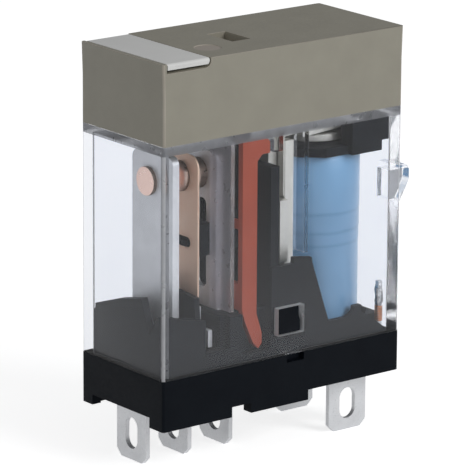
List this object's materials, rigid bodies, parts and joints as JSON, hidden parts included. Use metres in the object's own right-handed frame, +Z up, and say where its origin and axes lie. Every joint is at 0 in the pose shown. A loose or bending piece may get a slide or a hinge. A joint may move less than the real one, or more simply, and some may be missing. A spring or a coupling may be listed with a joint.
{
  "type": "plug in relay",
  "caption": "Plug-in changeover relay: clear case on a black base with blade terminals, khaki cap, blue coil, copper contact spring and red indicator lever.",
  "frame": {"origin": "centre of the base's flat underside, from which the terminal blades stand down", "axes": "+Z up from the terminals to the cap; +X along the long side from the contacts to the coil; +Y across to the back"},
  "size_m": [0.0303, 0.013, 0.0403],
  "materials": {
    "base_black": "satin moulded",
    "case_clear": "clear polished",
    "cap_khaki": "fine matte moulded",
    "plate_white": "satin moulded",
    "terminal_tin": "tin plated, stamped",
    "contact_silver": "silver alloy face on a copper rivet",
    "spring_copper": "rolled copper alloy",
    "winding_copper": "enamelled wire",
    "tape_blue": "glossy wrapped tape",
    "steel_plated": "zinc plated, stamped",
    "lever_red": "satin moulded"
  },
  "bodies": {
    "housing": {"base": "base_black", "clear_case": "case_clear", "cap": "cap_khaki", "open_terminal": "terminal_tin", "closed_terminal": "terminal_tin", "common_terminal": "terminal_tin", "front_coil_terminal": "terminal_tin", "back_coil_terminal": "terminal_tin", "open_contact": "contact_silver", "closed_contact": "contact_silver", "bobbin": "base_black", "coil_winding": "winding_copper", "coil_tape": "tape_blue", "lead_windings": "winding_copper", "core": "steel_plated", "yoke": "steel_plated", "hinge_spring": "steel_plated"},
    "armature": {"armature": "steel_plated"},
    "card": {"card": "base_black"},
    "contact_spring": {"contact_spring": "spring_copper", "moving_contact": "contact_silver", "spring_rivets": "spring_copper"},
    "indicator": {"indicator_lever": "lever_red"},
    "nameplate": {"nameplate": "plate_white"}
  },
  "joints": [
    {"name": "armature_hinge", "type": "hinge", "parent": "housing", "child": "armature", "pos_m": [0.0026, 0, 0.0242], "axis": [0, 1, 0], "range_deg": [0, 3.8], "stiffness_Nm_per_rad": 0.02, "springref_deg": -2.86},
    {"name": "card_slide", "type": "slide", "parent": "housing", "child": "card", "axis": [-1, 0, 0], "range_m": [0, 0.00058]},
    {"name": "contact_spring_hinge", "type": "hinge", "parent": "housing", "child": "contact_spring", "pos_m": [-0.0075, 0, 0.0066], "axis": [0, -1, 0], "range_deg": [0, 3.8]},
    {"name": "indicator_hinge", "type": "hinge", "parent": "housing", "child": "indicator", "pos_m": [-0.0023, -0.0048, 0.0056], "axis": [0, -1, 0], "range_deg": [0, 3]},
    {"name": "nameplate_lift", "type": "slide", "parent": "housing", "child": "nameplate", "axis": [0, 0, 1], "range_m": [0, 0.004]}
  ],
  "couplings": [
    {"joint": "card_slide", "follows": "armature_hinge", "m_per_rad": 0.00865},
    {"joint": "contact_spring_hinge", "follows": "armature_hinge", "ratio": 0.9887},
    {"joint": "indicator_hinge", "follows": "armature_hinge", "ratio": 0.76}
  ]
}
